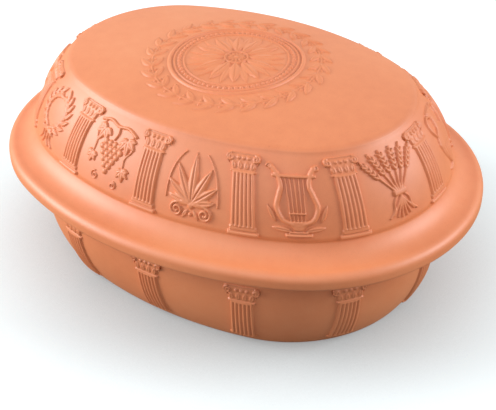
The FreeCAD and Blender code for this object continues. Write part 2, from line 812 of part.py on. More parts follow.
def carved_features(name, blocks):
    features = []
    for step, block in enumerate(blocks, start=1):
        feature = doc.addObject("Part::Feature", f"{name}{step}")
        feature.Shape = block
        features.append(feature)
    return features


crown = carved("CarvedCrown", build_crown(), crown_carving())
lid_side = carved("CarvedSide", build_lid_wall(), lid_carving())
sub_parts = [
    joined("lid", [lid_side, crown]),
    joined("pot", [build_pot_shell()] + carved_features("PotCarving", pot_carving())),
]
doc.recompute()

for item in doc.Objects:
    if "Invalid" in item.State or "Error" in item.State:
        raise RuntimeError(f"{item.Label} could not be computed")
for piece in sub_parts:
    shape = piece.Shape
    if shape.isNull() or not shape.isValid() or len(shape.Solids) != 1:
        raise RuntimeError(f"{piece.Label} is not one valid solid")

os.makedirs("parts", exist_ok=True)
for piece in sub_parts:
    piece.Shape.exportStep(f"parts/{piece.Label}.step")
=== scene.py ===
import math

import bmesh
import bpy
import numpy as np
from mathutils import Matrix, Vector


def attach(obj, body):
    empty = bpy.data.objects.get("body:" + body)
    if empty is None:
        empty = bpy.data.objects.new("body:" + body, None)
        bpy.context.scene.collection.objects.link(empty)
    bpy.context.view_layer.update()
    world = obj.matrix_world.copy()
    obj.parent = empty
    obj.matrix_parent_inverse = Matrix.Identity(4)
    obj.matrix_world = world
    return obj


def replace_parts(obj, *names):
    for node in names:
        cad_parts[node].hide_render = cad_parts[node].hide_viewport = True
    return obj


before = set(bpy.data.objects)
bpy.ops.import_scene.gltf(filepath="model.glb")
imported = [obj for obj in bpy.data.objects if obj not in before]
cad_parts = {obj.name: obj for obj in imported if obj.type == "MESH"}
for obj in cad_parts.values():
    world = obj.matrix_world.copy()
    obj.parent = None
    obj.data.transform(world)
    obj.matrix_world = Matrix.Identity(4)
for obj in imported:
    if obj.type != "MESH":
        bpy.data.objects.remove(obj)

bl_info = {
    "name": "Clay roaster",
    "version": (1, 0, 0),
    "blender": (4, 5, 0),
    "location": "View3D > Sidebar > Clay roaster",
    "description": "Oval roaster of unglazed terracotta with columns and ornaments in relief",
    "category": "Object",
}

MM = 0.001
CLAY = "unglazed terracotta"

# The part's own sizes in millimetres and degrees
LENGTH, WIDTH, LID_TURN = 345, 260.5, 66.6
FOOT_LENGTH, FOOT_WIDTH, POT_TURN = 264, 189.4, 76.3
WALL, SEAT = 8, 80
TIP = LENGTH / 2
FOOT = FOOT_LENGTH / 2
COLUMNS = 12

# Lid: brim, ledge, frieze and shoulder in the plane of its section
BRIM_ROUND, BRIM_LIP, BRIM_HEIGHT, SKIRT_WALL = 5.4, 2.2, 77.75, 10.5
LEDGE_REACH, LEDGE_HEIGHT, LEDGE = 151.5, 94, 0.12
FRIEZE_ROUND = 90
SHOULDER_CENTRE, SHOULDER_ROUND = (119.5, 134.6), 8
# The shoulder stands this far out over the frieze, and drops to it in this many degrees
LIP, LIP_TURN = 0.3, 0.3
SHOULDER_END, SUMMIT = 80, 151

# Pot: swelling wall, heel, nook of the floor and the rim under the brim
SWELL, SWELL_HEIGHT = 15.2, 50
HEEL_ROUND, FLOOR_ROUND, FLOOR_STRIP = 2, 12, 30
RIM_REACH, RIM_ROOT, RIM_UNDER, RIM_SLOPE, RIM_ROUND = 160.5, 145.5, 70, 6, 2
POT_COLUMN_FOOT = 7

# Relief: a tile's flat part lies just under the clay, and its edge is drawn in deeper
BURIED, SUNK = 0.25, 2

# Steps round each end and each long side of an oval, and angles over which an edge is sharp
END_STEPS, SIDE_STEPS = 84, 58
SHARP, SOFT_SHARP = 35, 75


class Oval:
    """Family of parallel ovals, each made of two end arcs and two side arcs."""

    def __init__(self, half_long, half_wide, turn):
        self.turn = math.radians(turn)
        bend = 1 - 1 / math.cos(self.turn) + math.tan(self.turn)
        self.end = (half_long - half_wide) / bend
        self.side = self.end * math.tan(self.turn)

    def radii(self, reach):
        end_radius = reach - self.end
        return end_radius, end_radius + self.end / math.cos(self.turn)

    def quarter(self, reach):
        """A quarter of the way round the oval that reaches this far along X."""
        end_radius, side_radius = self.radii(reach)
        return end_radius * self.turn + side_radius * (math.pi / 2 - self.turn)

    def at(self, reach, share):
        """Points and outward directions at shares of the way round, from +X and anticlockwise."""
        end_radius, side_radius = self.radii(reach)
        end_run = end_radius * self.turn
        along = (share % 1) * 4
        step = np.floor(along)
        part = along - step
        run = self.quarter(reach) * np.where(step % 2 == 0, part, 1 - part)
        on_end = run < end_run
        angle = np.where(on_end, run / end_radius, self.turn + (run - end_run) / side_radius)
        radius = np.where(on_end, end_radius, side_radius)
        across = np.where((step == 0) | (step == 3), 1, -1)
        up = np.where(step < 2, 1, -1)
        out_x, out_y = np.cos(angle), np.sin(angle)
        x = across * (radius * out_x + np.where(on_end, self.end, 0))
        y = up * (radius * out_y - np.where(on_end, 0, self.side))
        return x, y, across * out_x, up * out_y

    def gauge(self, reach, x, y):
        """How far out a point lies: 0 in the middle, 1 on the oval of this reach."""
        end_radius, side_radius = self.radii(reach)
        away = np.maximum(np.hypot(x, y), 1e-6)
        across, up = np.abs(x) / away, np.abs(y) / away
        corner = math.atan2(end_radius * math.sin(self.turn),
                            self.end + end_radius * math.cos(self.turn))
        end_gap = np.maximum(end_radius ** 2 - (self.end * up) ** 2, 0)
        side_gap = np.maximum(side_radius ** 2 - (self.side * across) ** 2, 0)
        to_end = self.end * across + np.sqrt(end_gap)
        to_side = np.sqrt(side_gap) - self.side * up
        return away / np.where(np.arctan2(up, across) < corner, to_end, to_side)


LID_OVAL = Oval(LENGTH / 2, WIDTH / 2, LID_TURN)
POT_OVAL = Oval(FOOT_LENGTH / 2, FOOT_WIDTH / 2, POT_TURN)


def on_arc(centre, radius, degrees):
    angle = math.radians(degrees)
    return centre[0] + radius * math.cos(angle), centre[1] + radius * math.sin(angle)


def bearing(centre, point):
    return math.degrees(math.atan2(point[1] - centre[1], point[0] - centre[0]))


def circles_meet(one, one_radius, other, other_radius):
    """Where two circles cross, on the left of the way from one centre to the other."""
    way = Vector(other) - Vector(one)
    along = (way.length_squared + one_radius ** 2 - other_radius ** 2) / (2 * way.length)
    left = Vector((-way.y, way.x)).normalized() * math.sqrt(one_radius ** 2 - along ** 2)
    return Vector(one) + way.normalized() * along + left


FRIEZE_CENTRE = circles_meet((LEDGE_REACH, LEDGE_HEIGHT), FRIEZE_ROUND,
                             SHOULDER_CENTRE, FRIEZE_ROUND - SHOULDER_ROUND)
CROWN_REACH, CROWN_EDGE = on_arc(SHOULDER_CENTRE, SHOULDER_ROUND + LIP, SHOULDER_END)
FRIEZE_LOW = bearing(FRIEZE_CENTRE, (LEDGE_REACH, LEDGE_HEIGHT))
FRIEZE_HIGH = bearing(FRIEZE_CENTRE, SHOULDER_CENTRE)
SWELL_ROUND = (SWELL_HEIGHT ** 2 + SWELL ** 2) / (2 * SWELL)
SWELL_CENTRE = (FOOT + SWELL - SWELL_ROUND, SWELL_HEIGHT)


def crown_height(x, y):
    """Height of the lid's gently domed top."""
    return SUMMIT - (SUMMIT - CROWN_EDGE) * LID_OVAL.gauge(CROWN_REACH, x, y) ** 2


class RoasterSizes(bpy.types.PropertyGroup):
    """Sizes that change how the clay is dressed."""

    column_relief: bpy.props.FloatProperty(
        name="Column relief", description="How far the columns stand out of the clay",
        default=1.8 * MM, min=0, unit="LENGTH")
    ornament_relief: bpy.props.FloatProperty(
        name="Ornament relief", description="How far the ornaments stand out of the clay",
        default=1.7 * MM, min=0, unit="LENGTH")
    crown_relief: bpy.props.FloatProperty(
        name="Crown relief", description="How far medallion and garland stand out of the lid's top",
        default=1.2 * MM, min=0, unit="LENGTH")
    grain: bpy.props.FloatProperty(
        name="Grain", description="Width of the clay's coarse grains",
        default=0.7 * MM, min=0.1 * MM, unit="LENGTH")


def colour(code):
    """Linear colour with alpha from an sRGB hex value."""
    parts = [int(code[place:place + 2], 16) / 255 for place in (1, 3, 5)]
    return (*[part / 12.92 if part <= 0.04045 else ((part + 0.055) / 1.055) ** 2.4
              for part in parts], 1)


class RoasterColours(bpy.types.PropertyGroup):
    """Colours of the clay and of the stage."""

    clay: bpy.props.FloatVectorProperty(
        name="Clay", description="Main colour of the fired clay",
        subtype="COLOR", size=4, default=colour("#F09460"), min=0, max=1)
    pale: bpy.props.FloatVectorProperty(
        name="Pale clay", description="Colour of the paler cloudy patches",
        subtype="COLOR", size=4, default=colour("#F39C69"), min=0, max=1)
    deep: bpy.props.FloatVectorProperty(
        name="Deep clay", description="Colour of the deeper patches",
        subtype="COLOR", size=4, default=colour("#E98B58"), min=0, max=1)
    floor: bpy.props.FloatVectorProperty(
        name="Floor", description="Colour of the studio floor",
        subtype="COLOR", size=4, default=colour("#EEFAFD"), min=0, max=1)


class Pen:
    """Draws the section of a wall in the XZ plane, from one corner on."""

    def __init__(self, mesh, reach, height):
        self.mesh = mesh
        self.tip = mesh.verts.new((reach, 0, height))

    def line(self, reach, height, steps=1):
        start, goal = self.tip.co.copy(), Vector((reach, 0, height))
        for step in range(1, steps + 1):
            made = bmesh.ops.extrude_vert_indiv(self.mesh, verts=[self.tip])
            self.tip = made["verts"][0]
            self.tip.co = start.lerp(goal, step / steps)

    def arc(self, centre, degrees, steps):
        """Turns about a centre, anticlockwise where the angle is positive."""
        made = bmesh.ops.spin(self.mesh, geom=[self.tip], cent=(centre[0], 0, centre[1]),
                              axis=(0, 1, 0), angle=-math.radians(degrees), steps=steps)
        self.tip = next(item for item in made["geom_last"] if isinstance(item, bmesh.types.BMVert))


def sweep(mesh, oval):
    """Carries the drawn section once round the oval."""
    bmesh.ops.rotate(mesh, verts=mesh.verts, cent=(oval.end, 0, 0),
                     matrix=Matrix.Rotation(-oval.turn, 3, "Z"))
    section = mesh.verts[:] + mesh.edges[:]
    end_turn, side_turn = 2 * oval.turn, math.pi - 2 * oval.turn
    for x, y, angle, steps in (
        (oval.end, 0, end_turn, END_STEPS), (0, -oval.side, side_turn, SIDE_STEPS),
        (-oval.end, 0, end_turn, END_STEPS), (0, oval.side, side_turn, SIDE_STEPS),
    ):
        made = bmesh.ops.spin(mesh, geom=section, cent=(x, y, 0), axis=(0, 0, 1),
                              angle=angle, steps=steps)
        section = made["geom_last"]
    bmesh.ops.remove_doubles(mesh, verts=mesh.verts, dist=0.02)


def close_middle(mesh, height, rise, rings):
    """Closes the open rim at this height with shrinking ovals that rise to the middle."""
    rim = [edge for edge in mesh.edges
           if edge.is_boundary and all(abs(vert.co.z - height) < 0.01 for vert in edge.verts)]
    for ring in range(rings, 0, -1):
        made = bmesh.ops.extrude_edge_only(mesh, edges=rim)["geom"]
        verts = {item for item in made if isinstance(item, bmesh.types.BMVert)}
        rim = [item for item in made if isinstance(item, bmesh.types.BMEdge)
               and all(vert in verts for vert in item.verts)]
        share = (ring - 1) / rings
        level = height + rise * (1 - share ** 2)
        if ring == 1:
            bmesh.ops.pointmerge(mesh, verts=list(verts), merge_co=(0, 0, level))
            break
        shrink = (ring - 1) / ring
        bmesh.ops.scale(mesh, vec=(shrink, shrink, 1), verts=list(verts))
        for vert in verts:
            vert.co.z = level


def finish_piece(name, mesh, sharp=SHARP):
    """Turns millimetres into metres and makes the mesh a piece of clay."""
    if sharp:
        bmesh.ops.recalc_face_normals(mesh, faces=mesh.faces)
    bmesh.ops.scale(mesh, vec=(MM, MM, MM), verts=mesh.verts)
    for face in mesh.faces:
        face.smooth = True
    data = bpy.data.meshes.new(name)
    mesh.to_mesh(data)
    mesh.free()
    if sharp:
        data.set_sharp_from_angle(angle=math.radians(sharp))
    data.materials.append(bpy.data.materials.get(CLAY) or terracotta())
    piece = bpy.data.objects.new(name, data)
    bpy.context.scene.collection.objects.link(piece)
    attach(piece, "root")
    return piece


def tile(wide, tall, pitch, foot=0):
    """Flat closed tile: a grid whose edge is drawn together at one sunk point behind it."""
    mesh = bmesh.new()
    bmesh.ops.create_grid(mesh, x_segments=round(wide / pitch), y_segments=round(tall / pitch),
                          size=0.5)
    bmesh.ops.scale(mesh, vec=(wide, tall, 1), verts=mesh.verts)
    middle = Vector((0, foot + tall / 2, 0))
    bmesh.ops.translate(mesh, vec=middle, verts=mesh.verts)
    rim = [edge for edge in mesh.edges if edge.is_boundary]
    made = bmesh.ops.extrude_edge_only(mesh, edges=rim)["geom"]
    sunk = [item for item in made if isinstance(item, bmesh.types.BMVert)]
    bmesh.ops.pointmerge(mesh, verts=sunk, merge_co=middle - Vector((0, 0, 1)))
    bmesh.ops.recalc_face_normals(mesh, faces=mesh.faces)
    if max(mesh.faces, key=lambda face: face.calc_center_median().z).normal.z < 0:
        bmesh.ops.reverse_faces(mesh, faces=mesh.faces)
    data = bpy.data.meshes.new("tile")
    mesh.to_mesh(data)
    mesh.free()
    return data


def raise_relief(name, flat, sprigs):
    """Lays a flat tile at each place and raises its relief; one piece out of them all."""
    count = len(flat.vertices)
    spots = np.empty(3 * count)
    flat.vertices.foreach_get("co", spots)
    u, v, depth = spots.reshape(-1, 3).T.copy()
    whole = bmesh.new()
    for relief, place in sprigs:
        height = np.where(depth < -0.5, -SUNK, relief(u, v) - BURIED)
        laid = np.column_stack(place(u, v, height))
        flat.vertices.foreach_set("co", laid.ravel())
        whole.from_mesh(flat)
    bpy.data.meshes.remove(flat)
    return finish_piece(name, whole, sharp=0)


def on_lid(share):
    """Place on the lid's frieze: u runs along it, v up it from the ledge, h out of it."""
    def place(u, v, h):
        angle = math.radians(FRIEZE_LOW) + v / FRIEZE_ROUND
        reach = FRIEZE_CENTRE[0] + FRIEZE_ROUND * np.cos(angle)
        way = share + u / (4 * LID_OVAL.quarter(reach))
        x, y, out_x, out_y = LID_OVAL.at(reach, way)
        out = h * np.cos(angle)
        return (x + out_x * out, y + out_y * out,
                FRIEZE_CENTRE[1] + (FRIEZE_ROUND + h) * np.sin(angle))
    return place


def on_pot(share):
    """Place on the pot's wall: u runs along it, v up it from the columns' foot, h out of it."""
    def place(u, v, h):
        low = math.asin((POT_COLUMN_FOOT - SWELL_HEIGHT) / SWELL_ROUND)
        angle = np.minimum(low + v / SWELL_ROUND, 0)
        upright = np.maximum(v + low * SWELL_ROUND, 0)
        reach = SWELL_CENTRE[0] + SWELL_ROUND * np.cos(angle)
        way = share + u / (4 * POT_OVAL.quarter(reach))
        x, y, out_x, out_y = POT_OVAL.at(reach, way)
        out = h * np.cos(angle)
        return (x + out_x * out, y + out_y * out,
                SWELL_HEIGHT + (SWELL_ROUND + h) * np.sin(angle) + upright)
    return place


def on_crown(u, v, h):
    return u, v, crown_height(u, v) + h


def smooth(share):
    share = np.clip(share, 0, 1)
    return share * share * (3 - 2 * share)


def tube(u, v, path, radius, height):
    """Round ridge along a path of points; one point alone gives a round boss."""
    best = np.full(u.shape, 1e9)
    for (x, y), (to_x, to_y) in zip(path, path[1:] or path):
        run = max((to_x - x) ** 2 + (to_y - y) ** 2, 1e-9)
        along = np.clip(((u - x) * (to_x - x) + (v - y) * (to_y - y)) / run, 0, 1)
        away = np.hypot(u - x - along * (to_x - x), v - y - along * (to_y - y))
        best = np.minimum(best, away)
    return height * np.sqrt(np.clip(1 - (best / radius) ** 2, 0, None))


def plate(u, v, x, low, high, half_wide, height, edge=0.6):
    """Flat block with soft edges; its half width may change with the height."""
    inside = np.minimum(half_wide - np.abs(u - x), np.minimum(v - low, high - v))
    return height * smooth(inside / edge)


def leaf(u, v, x, y, lean, long, wide, height, vein=0.35):
    """Pointed leaf from its stalk on, with a sunk midrib; lean is clockwise from upright."""
    turn = math.radians(lean)
    along = ((u - x) * math.sin(turn) + (v - y) * math.cos(turn)) / long
    across = (u - x) * math.cos(turn) - (v - y) * math.sin(turn)
    half = wide / 2 * np.sin(math.pi * np.clip(along, 0, 1) ** 0.8)
    swell = np.sqrt(np.clip(1 - (across / np.maximum(half, 0.01)) ** 2, 0, None))
    swell = np.where((along > 0) & (along < 1), swell, 0)
    return height * swell * (1 - vein * np.exp(-(across / 0.4) ** 2))


def curve(x, y, points, steps=8):
    """Smooth path through points that are given from x, y."""
    spots = [Vector((x + dx, y + dy, 0)) for dx, dy in points]
    ends = [2 * spots[0] - spots[1], *spots, 2 * spots[-1] - spots[-2]]
    path = []
    for one, two, three, four in zip(ends, ends[1:], ends[2:], ends[3:]):
        for step in range(steps):
            t = step / steps
            bend = 2 * one - 5 * two + 4 * three - four
            twist = 3 * two - one - 3 * three + four
            spot = 0.5 * (2 * two + (three - one) * t + bend * t ** 2 + twist * t ** 3)
            path.append((spot.x, spot.y))
    return path + [(spots[-1].x, spots[-1].y)]


def scroll(x, y, radius, hand, turns=1.4, start=90, steps=22):
    """Path of a spiral that winds inwards; hand is 1 anticlockwise, -1 clockwise."""
    path = []
    for step in range(steps + 1):
        share = step / steps
        angle = math.radians(start) + hand * 2 * math.pi * turns * share
        size = radius * (1 - 0.8 * share)
        path.append((x + size * math.cos(angle), y + size * math.sin(angle)))
    return path


def highest(*parts):
    return np.maximum.reduce(parts)


def reeds(u, v, low, high, half_low, half_high, count, height, depth):
    """Shaft of a column: round reeds with narrow grooves between them, closed at both ends."""
    half = np.interp(v, (low, high), (half_low, half_high))
    place = (u / half + 1) / 2 * count
    groove = np.abs(2 * (place - np.floor(place)) - 1) ** 3
    ends = smooth(np.minimum(v - low, high - v) / 1.6)
    roundness = np.sqrt(np.clip(1 - (u / (half * 1.25)) ** 2, 0, None))
    inside = smooth((half - np.abs(u)) / 0.5) * (v > low) * (v < high)
    return inside * (height * (0.55 + 0.45 * roundness) - depth * groove * ends)


def capital(u, v, foot, tall, neck, half, height):
    """Capital: neck ring, flaring bell of leaves, two scrolls and a thin slab over them."""
    top = foot + tall
    flare = np.interp(v, (foot, top - 0.4 * tall, top), (neck, neck * 1.1, half))
    ring = foot + 0.06 * tall
    parts = [
        tube(u, v, [(-neck, ring), (neck, ring)], 0.07 * tall, 0.8 * height),
        plate(u, v, 0, foot, top - 0.06 * tall, flare, 0.5 * height, edge=0.9),
        plate(u, v, 0, top - 0.12 * tall, top, half * 0.92, 0.7 * height, edge=0.9),
    ]
    for spot in (-1.5, -0.5, 0.5, 1.5):
        parts.append(leaf(u, v, spot * neck * 0.5, foot + 0.14 * tall, 6 * spot, 0.44 * tall,
                          0.5 * neck, 0.95 * height))
    for spot in (-1, 0, 1):
        parts.append(tube(u, v, [(spot * half * 0.3, top - 0.29 * tall)], 0.12 * tall, height))
    for side in (-1, 1):
        parts.append(tube(u, v, scroll(side * (half - 0.19 * tall), top - 0.3 * tall, 0.19 * tall,
                                       -side), 0.07 * tall, height))
    return highest(*parts)


def lid_column(height):
    """Reeded column of the frieze on a base of two steps."""
    def relief(u, v):
        return highest(
            plate(u, v, 0, 0.2, 3.4, 10.2, height, edge=0.9),
            plate(u, v, 0, 3, 6.6, 8.9, 0.75 * height, edge=0.9),
            reeds(u, v, 6, 39, 8, 7, 6, height, 0.62 * height),
            capital(u, v, 38.8, 12.2, 7.4, 10.4, height),
        )
    return relief


def pot_column(height):
    """Wider reeded column of the pot, with a low spreading foot."""
    def relief(u, v):
        return highest(
            plate(u, v, 0, 0.2, 2.6, 9.6, 0.6 * height),
            reeds(u, v, 1.6, 38.4, 8.4, 7.7, 6, height, 0.7 * height),
            capital(u, v, 38.4, 13.4, 8.4, 11.8, height),
        )
    return relief


def amphora(u, v):
    """Two-handled jar with a ribbed body."""
    marks = (3, 4.4, 6, 7.4, 13, 19, 25, 29, 32, 34.5, 40, 44, 46.6)
    halves = (6.2, 6.2, 3, 2.2, 6.6, 10.4, 12.4, 11.6, 8.2, 4.8, 3.8, 4.8, 6.6)
    half = np.interp(v, marks, halves)
    inside = smooth((half - np.abs(u)) / 0.5) * (v > 3) * (v < 46.8)
    swell = np.sqrt(np.clip(1 - (u / (half * 1.1)) ** 2, 0, None))
    body = inside * (0.35 + 0.65 * swell)
    ribs = 0.22 * np.cos(u / half * math.pi * 3.5) ** 2 * smooth((v - 8) / 2) * smooth((23 - v) / 2)
    parts = [body - ribs * inside]
    for low, high in ((24.6, 25.6), (28.6, 29.6), (33.6, 34.6), (44.8, 46.8)):
        parts.append(plate(u, v, 0, low, high, half + 0.2, 1, edge=0.5) * (0.4 + 0.6 * swell))
    for side in (-1, 1):
        handle = [(side * x, y) for x, y in
                  ((4, 43.2), (8.6, 45), (12.6, 42.4), (12.8, 37), (10.2, 32), (8.8, 30))]
        parts.append(tube(u, v, curve(0, 0, handle), 1.2, 0.9))
        parts.append(tube(u, v, scroll(side * 6, 26.9, 1.5, side, 1.2), 0.45, 1))
    parts.append(tube(u, v, [(0, 27)], 1, 1))
    return highest(*parts)


def wreath(u, v):
    """Laurel wreath tied below with a ribbon."""
    middle, radius = 28.6, 13.2
    parts = [tube(u, v, [(0, 14.6)], 2, 0.95)]
    for side in (-1, 1):
        stem = [(side * radius * math.sin(math.radians(turn)),
                 middle + radius * math.cos(math.radians(turn))) for turn in range(180, 5, -10)]
        parts.append(tube(u, v, stem, 0.7, 0.6))
        for rank in range(8):
            turn = 176 - 21 * rank
            x = side * radius * math.sin(math.radians(turn))
            y = middle + radius * math.cos(math.radians(turn))
            for spread in (-34, 30):
                parts.append(leaf(u, v, x, y, side * (turn - 90 + spread), 8.4, 3.6, 0.95))
            berry = (x + side * 0.4, y + 1.4)
            parts.append(tube(u, v, [berry], 0.95, 1))
        for points in (((0, 14.6), (4.6, 12.6), (5.6, 8), (9.4, 4)),
                       ((0, 14.6), (2.2, 11), (1.8, 7.4), (4.4, 3.4))):
            parts.append(tube(u, v, curve(0, 0, [(side * x, y) for x, y in points]), 0.9, 0.75))
        bow = [(0, 14.6), (4.4, 17.6), (7.4, 15.4), (4.6, 12.9), (0, 14.4)]
        parts.append(tube(u, v, curve(0, 0, [(side * x, y) for x, y in bow]), 0.75, 0.85))
    return highest(*parts)


def vine(u, v):
    """Vine branch with leaves and a hanging bunch of grapes."""
    branch = curve(0, 0, ((-16, 44.6), (-9, 46.4), (-1, 44.4), (7, 45.4), (15, 42.4)))
    parts = [
        tube(u, v, branch, 1.1, 0.9),
        tube(u, v, curve(0, 0, ((0, 44.6), (1.2, 40), (0, 35.6))), 0.8, 0.8),
    ]
    for rank, grapes in enumerate((4, 5, 4, 3, 2, 1)):
        for step in range(grapes):
            x = (step - (grapes - 1) / 2) * 4
            parts.append(tube(u, v, [(x, 32.6 - 3.7 * rank)], 2.25, 0.95 - 0.02 * grapes))
    for x, y, turn, size in ((-9.6, 40.6, 200, 1), (10.4, 38.6, 165, 1),
                             (-14, 22.4, 190, 0.72), (13.6, 19.6, 170, 0.8)):
        for spread, long in ((-78, 7), (-40, 9), (0, 10.6), (40, 9), (78, 7)):
            parts.append(leaf(u, v, x, y, turn + spread, long * size, 5 * size, 0.9))
    for tendril in (((-12, 45.6), (-16, 38), (-13.6, 30), (-14, 23)),
                    ((12, 43.6), (16.4, 34), (13, 27), (13.6, 20))):
        parts.append(tube(u, v, curve(0, 0, tendril), 0.6, 0.6))
    parts.append(tube(u, v, scroll(-8, 8.6, 3.2, 1), 0.6, 0.7))
    parts.append(tube(u, v, scroll(8.6, 7.4, 2.8, -1), 0.6, 0.7))
    return highest(*parts)


def palmette(u, v):
    """Fan of leaves that rises from two scrolls."""
    parts = []
    for lean in (-78, -52, -26, 0, 26, 52, 78):
        long = 32 - abs(lean) * 0.2
        parts.append(leaf(u, v, 0, 13.6, lean, long, 6.6, 1, vein=0.5))
    for side in (-1, 1):
        parts.append(tube(u, v, scroll(side * 9.4, 8.6, 4.6, -side, 1.6), 0.95, 0.95))
        bow = [(side * x, y) for x, y in ((0, 12.4), (4.4, 14.6), (9.4, 13.2))]
        parts.append(tube(u, v, curve(0, 0, bow), 0.95, 0.95))
        edge = [(side * 17.6 * math.sin(math.radians(turn)),
                 13.6 + 34.4 * math.cos(math.radians(turn))) for turn in range(8, 96, 8)]
        parts.append(tube(u, v, edge[2:], 0.6, 0.6))
        parts.append(leaf(u, v, side * 2.2, 9.6, side * 150, 7, 3, 0.8))
    parts.append(tube(u, v, [(0, 12.8)], 2.6, 1))
    parts.append(tube(u, v, [(0, 7)], 1.4, 0.9))
    return highest(*parts)


def lyre(u, v):
    """Lyre with its strings on a small plinth."""
    parts = [
        plate(u, v, 0, 3, 5.4, 8.4, 1),
        plate(u, v, 0, 5.2, 7, 6.2, 0.8),
        plate(u, v, 0, 7, 13.4, np.interp(v, (7, 9, 13.4), (2.4, 4, 8)), 0.9),
        plate(u, v, 0, 38.6, 41, 13.4, 0.95),
    ]
    for side in (-1, 1):
        arm = [(side * x, y) for x, y in
               ((3, 11), (9.4, 14), (12.4, 21), (10.2, 28.6), (8.4, 34), (9.6, 40), (12.4, 44.6))]
        parts.append(tube(u, v, curve(0, 0, arm), 1.7, 1))
        parts.append(tube(u, v, scroll(side * 13.6, 45, 2, side, 1.2, 180), 0.7, 0.9))
        parts.append(leaf(u, v, side * 4, 7, side * 82, 13, 4, 0.8))
        parts.append(leaf(u, v, side * 13.4, 12, side * 24, 12, 3.4, 0.8))
    for place in (-5.4, -2.7, 0, 2.7, 5.4):
        parts.append(tube(u, v, [(place * 0.8, 13), (place, 38.6)], 0.55, 0.7))
    parts.append(plate(u, v, 0, 17, 18.6, 5.4, 0.9, edge=0.5))
    parts.append(tube(u, v, [(0, 10.4)], 1.5, 1))
    return highest(*parts)


def sheaf(u, v):
    """Sheaf of wheat tied at its waist."""
    parts = [plate(u, v, 0, 18.6, 22.4, 5.2, 1), tube(u, v, [(0, 20.5)], 1.6, 1.05)]
    for lean in (-34, -20, -7, 7, 20, 34):
        turn = math.radians(lean)
        top = (19 * math.sin(turn), 22 + 12 * math.cos(turn))
        foot = (-13 * math.sin(turn) * 1.1, 19 - 14.4 * math.cos(turn))
        stalk = curve(0, 0, (foot, (lean * 0.06, 20.5), top))
        parts.append(tube(u, v, stalk, 0.9, 0.75))
        for rank in range(4):
            x = top[0] + math.sin(turn) * 3.1 * rank
            y = top[1] + math.cos(turn) * 3.1 * rank
            for spread in (-26, 26):
                parts.append(leaf(u, v, x, y, lean + spread, 4.6, 2.4, 1, vein=0))
        tip = (top[0] + math.sin(turn) * 12, top[1] + math.cos(turn) * 12)
        parts.append(leaf(u, v, tip[0], tip[1], lean, 4.4, 2, 0.95, vein=0))
    for side in (-1, 1):
        tail = [(side * x, y) for x, y in ((1, 20), (5.4, 16), (6.8, 10), (10.6, 6))]
        parts.append(tube(u, v, curve(0, 0, tail), 0.8, 0.8))
    return highest(*parts)


MOTIFS = (amphora, wreath, vine, palmette, lyre, sheaf)


def medallion(u, v):
    """Round medallion: double ring, row of beads and an open flower."""
    away, turn = np.hypot(u, v), np.arctan2(u, v)

    def hoop(radius, half, height):
        return height * np.sqrt(np.clip(1 - ((away - radius) / half) ** 2, 0, None))

    def petals(count, low, high, wide, height, shift=0):
        step = 2 * math.pi / count
        local = (turn + shift * step + step / 2) % step - step / 2
        x, y = away * np.sin(local), away * np.cos(local)
        return leaf(x, y, 0, low, 0, high - low, wide, height)

    def beads(count, radius, size, height):
        step = 2 * math.pi / count
        local = (turn + step / 2) % step - step / 2
        gap = np.hypot(away * np.cos(local) - radius, away * np.sin(local))
        return height * np.sqrt(np.clip(1 - (gap / size) ** 2, 0, None))

    return highest(
        hoop(44.4, 1.4, 1), hoop(41.2, 0.8, 0.8), hoop(34.8, 0.8, 0.7), hoop(7.6, 0.8, 0.9),
        beads(66, 38, 1.4, 0.95),
        petals(12, 8, 32, 8.6, 1), petals(12, 13, 33.6, 5.6, 0.7, 0.5), petals(12, 2, 7, 2, 0.9),
        0.95 * np.sqrt(np.clip(1 - (away / 2.2) ** 2, 0, None)),
    )


def garland(u, v):
    """Ring of laurel leaves on two sides of a stem, with berries between them."""
    away, turn = np.hypot(u, v), np.arctan2(u, v)
    count, radius = 26, 56
    step = 2 * math.pi / count
    parts = [0.6 * np.sqrt(np.clip(1 - ((away - radius) / 0.8) ** 2, 0, None))]
    for shift in (0, 1):
        local = (turn + step / 2) % step - step / 2 - shift * step
        along, out = radius * local, away - radius
        for side in (-1, 1):
            parts.append(leaf(along, out, -4.4, side * 0.4, 90 - side * 34, 13, 5, 1))
            parts.append(tube(along, out, [(4.6, side * 2)], 1.1, 0.8))
    return highest(*parts)


def add(tree, kind, settings=None, links=None):
    """Adds a node; links are its inputs, as plain values or as other nodes' outputs."""
    made = tree.nodes.new(kind)
    for name, value in (settings or {}).items():
        setattr(made, name, value)
    for name, value in (links or {}).items():
        if isinstance(value, bpy.types.NodeSocket):
            tree.links.new(value, made.inputs[name])
        else:
            made.inputs[name].default_value = value
    return made


def new_material(name):
    material = bpy.data.materials.new(name)
    material.use_nodes = True
    material.node_tree.nodes.clear()
    return material, material.node_tree


